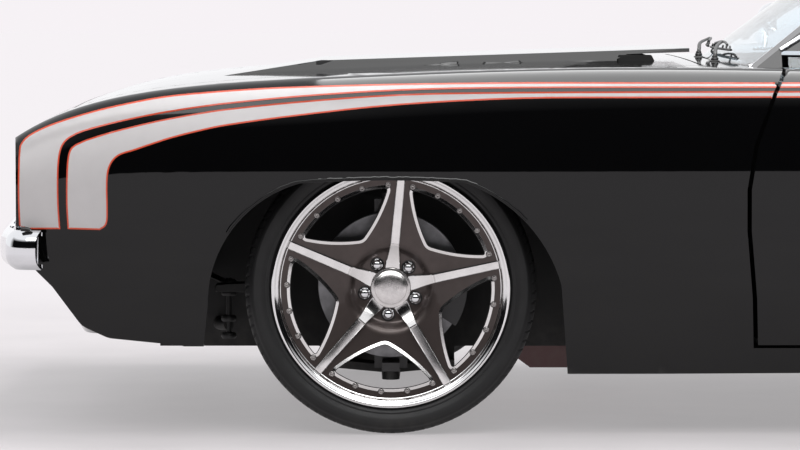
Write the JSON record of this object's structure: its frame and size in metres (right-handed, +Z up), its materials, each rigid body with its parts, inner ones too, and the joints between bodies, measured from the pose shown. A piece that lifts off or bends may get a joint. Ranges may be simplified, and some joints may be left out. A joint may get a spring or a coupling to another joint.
{
  "type": "two-door hardtop muscle car",
  "caption": "Hardtop coupe on wide low star-spoke wheels, with opening doors, hood and boot lid, steered front wheels and rolling wheels.",
  "frame": {"origin": "on the floor under the middle of the car's box", "axes": "+X forward, +Y to the car's left, +Z up"},
  "size_m": [4.7238, 1.8836, 1.2379],
  "materials": {
    "paint": "deep gloss black body paint",
    "chrome": "polished chrome plate",
    "wheel_metal": "dark satin metallic wheel centre with polished edges",
    "tyre": "black tyre",
    "disc": "turned brake disc",
    "glass": "clear window glass",
    "lamp_glass": "clear ribbed lamp lens",
    "red_lens": "deep red lamp lens",
    "grille_black": "satin black grille",
    "frame_red": "dark red chassis paint",
    "under_black": "satin black underbody coat",
    "engine": "painted cast iron",
    "steel": "plain steel",
    "leather": "black grained leather",
    "trim": "black grained trim"
  },
  "bodies": {
    "root": {"boot_floor": "under_black", "control_arms": "under_black", "cowl_panel": "paint", "dashboard": "trim", "deck_filler_panel": "paint", "driveline": "steel", "engine_block": "engine", "exhaust": "steel", "firewall": "under_black", "floor_pan": "under_black", "front_bumper": "chrome", "front_fender_left": "paint", "front_fender_right": "paint", "front_seat_left": "leather", "front_seat_right": "leather", "front_valance": "paint", "fuel_tank": "steel", "grille": "grille_black", "headlamps": "lamp_glass", "inner_fenders": "under_black", "leaf_springs": "under_black", "nose_panel": "paint", "parcel_shelf": "trim", "quarter_glass": "glass", "quarter_panel_left": "paint", "quarter_panel_right": "paint", "radiator": "under_black", "rear_axle": "under_black", "rear_bumper": "chrome", "rear_seat": "leather", "rear_window": "glass", "rocker_panels": "paint", "roof_panel": "paint", "subframe": "frame_red", "tail_lamps": "red_lens", "tail_panel": "paint", "windscreen": "glass"},
    "hood": {"hood": "paint"},
    "boot_lid": {"boot_lid": "paint"},
    "door_left": {"door_left": "paint", "door_glass_left": "glass"},
    "door_right": {"door_right": "paint", "door_glass_right": "glass"},
    "knuckle_left": {"knuckle_left": "under_black"},
    "knuckle_right": {"knuckle_right": "under_black"},
    "wheel_front_left": {"front_rim_left": "wheel_metal", "front_tyre_left": "tyre", "front_disc_left": "disc"},
    "wheel_front_right": {"front_rim_right": "wheel_metal", "front_tyre_right": "tyre", "front_disc_right": "disc"},
    "wheel_rear_left": {"rear_rim_left": "wheel_metal", "rear_tyre_left": "tyre", "rear_disc_left": "disc"},
    "wheel_rear_right": {"rear_rim_right": "wheel_metal", "rear_tyre_right": "tyre", "rear_disc_right": "disc"},
    "steering_wheel": {"steering_wheel": "trim"}
  },
  "joints": [
    {"name": "hood_open", "type": "hinge", "parent": "root", "child": "hood", "pos_m": [0.724, 0, 0.85], "axis": [0, -1, 0], "range_deg": [0, 50]},
    {"name": "boot_lid_open", "type": "hinge", "parent": "root", "child": "boot_lid", "pos_m": [-1.363, 0, 0.884], "axis": [0, 1, 0], "range_deg": [0, 70]},
    {"name": "door_left_open", "type": "hinge", "parent": "root", "child": "door_left", "pos_m": [0.577, 0.918, 0.5], "axis": [0, 0, -1], "range_deg": [0, 65]},
    {"name": "door_right_open", "type": "hinge", "parent": "root", "child": "door_right", "pos_m": [0.577, -0.918, 0.5], "axis": [0, 0, 1], "range_deg": [0, 65]},
    {"name": "steer_left", "type": "hinge", "parent": "root", "child": "knuckle_left", "pos_m": [1.437, 0.74, 0.332], "axis": [0, 0, 1], "range_deg": [-30, 30]},
    {"name": "steer_right", "type": "hinge", "parent": "root", "child": "knuckle_right", "pos_m": [1.437, -0.74, 0.332], "axis": [0, 0, 1], "range_deg": [-30, 30]},
    {"name": "steering_wheel_turn", "type": "hinge", "parent": "root", "child": "steering_wheel", "pos_m": [0.12, 0.37, 0.65], "axis": [-0.9272, 0, 0.3746], "range_deg": [-450, 450]},
    {"name": "wheel_front_left_spin", "type": "hinge", "parent": "knuckle_left", "child": "wheel_front_left", "pos_m": [1.437, 0.74, 0.332], "axis": [0, 1, 0], "continuous": true},
    {"name": "wheel_front_right_spin", "type": "hinge", "parent": "knuckle_right", "child": "wheel_front_right", "pos_m": [1.437, -0.74, 0.332], "axis": [0, 1, 0], "continuous": true},
    {"name": "wheel_rear_left_spin", "type": "hinge", "parent": "root", "child": "wheel_rear_left", "pos_m": [-1.308, 0.752, 0.34], "axis": [0, 1, 0], "continuous": true},
    {"name": "wheel_rear_right_spin", "type": "hinge", "parent": "root", "child": "wheel_rear_right", "pos_m": [-1.308, -0.752, 0.34], "axis": [0, 1, 0], "continuous": true}
  ],
  "couplings": [
    {"joint": "steer_right", "follows": "steer_left", "ratio": 1},
    {"joint": "steering_wheel_turn", "follows": "steer_left", "ratio": 15}
  ]
}
